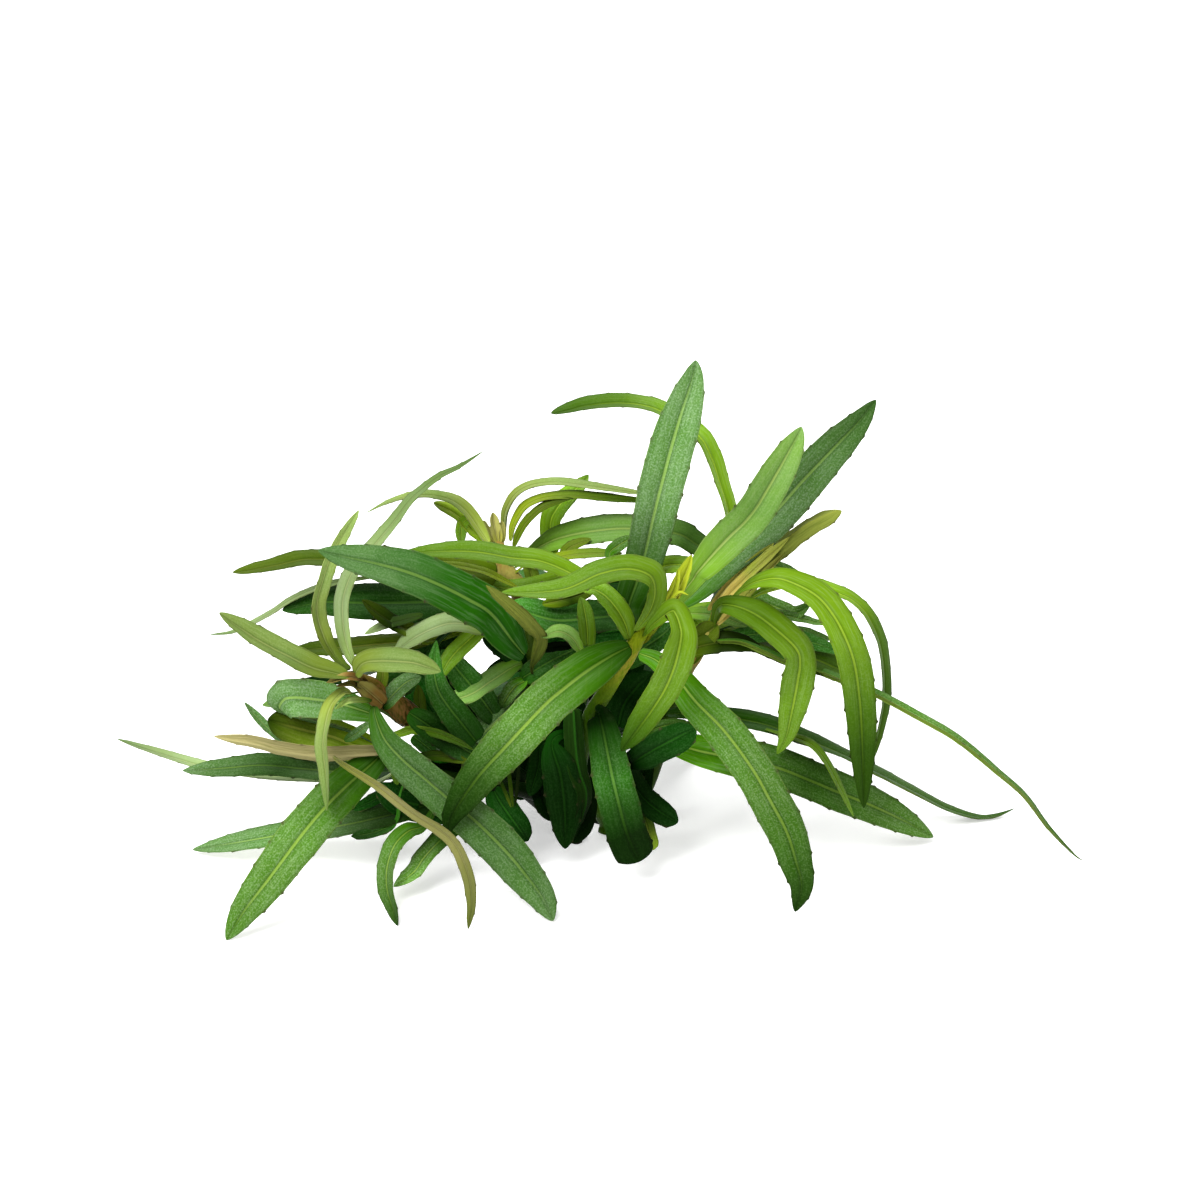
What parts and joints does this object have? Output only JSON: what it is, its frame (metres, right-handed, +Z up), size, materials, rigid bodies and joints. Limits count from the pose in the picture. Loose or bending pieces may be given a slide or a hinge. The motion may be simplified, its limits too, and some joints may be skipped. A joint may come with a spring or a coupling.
{
  "type": "aquarium stem plant clump",
  "caption": "Low bushy clump of cut aquatic shoots, with whorls of long narrow leaves that arch out and droop to the surface.",
  "frame": {"origin": "middle of the front stem's flat cut end, on the surface that the clump rests on", "axes": "+X across the clump along its longest extent, -Y towards the front that the picture shows, +Z up"},
  "size_m": [0.1641, 0.0902, 0.0868],
  "materials": {
    "leaf": "fine pebbled satin, blue-green with a pale midrib",
    "pale_leaf": "smooth satin, yellow-green",
    "stem": "smooth satin, olive with red-brown knuckles",
    "bud": "smooth satin, yellow-tan"
  },
  "bodies": {
    "root": {"front_stem": "stem", "right_stem": "stem", "rear_stem": "stem", "left_stem": "stem", "low_left_stem": "stem", "low_right_stem": "stem", "back_stem": "stem", "front_bud": "bud", "right_bud": "bud", "rear_bud": "bud", "left_bud": "bud", "front_left_leaf": "leaf", "front_bright_leaf": "pale_leaf", "front_short_leaf": "leaf", "front_right_leaf": "leaf", "upright_leaf": "leaf", "pale_upright_leaf": "pale_leaf", "dark_upright_leaf": "leaf", "right_bud_leaf": "pale_leaf", "right_arch_leaf": "leaf", "right_outer_arch": "pale_leaf", "right_kinked_leaf": "leaf", "right_dark_leaf": "leaf", "right_long_leaf": "leaf", "high_arch_leaf": "leaf", "rear_thin_arch": "pale_leaf", "rear_left_arch": "pale_leaf", "rear_bright_leaf": "leaf", "rear_grey_leaf": "leaf", "dark_broad_leaf": "leaf", "mid_pale_leaf": "pale_leaf", "pale_tongue_leaf": "pale_leaf", "behind_left_leaf": "leaf", "behind_olive_leaf": "leaf", "left_pale_leaf": "pale_leaf", "left_inner_arch": "pale_leaf", "left_tall_leaf": "pale_leaf", "left_short_leaf": "pale_leaf", "left_hanging_leaf": "pale_leaf", "left_front_leaf": "leaf", "left_folded_leaf": "leaf", "low_far_leaf": "pale_leaf", "low_dark_leaf": "leaf", "low_tan_leaf": "pale_leaf", "low_strip_leaf": "pale_leaf", "low_front_leaf": "leaf", "low_side_leaf": "leaf", "low_narrow_leaf": "leaf", "lower_right_leaf": "leaf", "lower_right_long_leaf": "leaf", "centre_low_leaf": "leaf", "centre_front_leaf": "leaf", "centre_dark_leaf": "leaf", "back_left_leaf": "leaf", "back_middle_leaf": "leaf", "back_right_leaf": "leaf", "back_low_left_leaf": "leaf", "back_low_right_leaf": "leaf", "back_upper_left_leaf": "leaf", "back_upper_right_leaf": "leaf"}
  },
  "joints": []
}
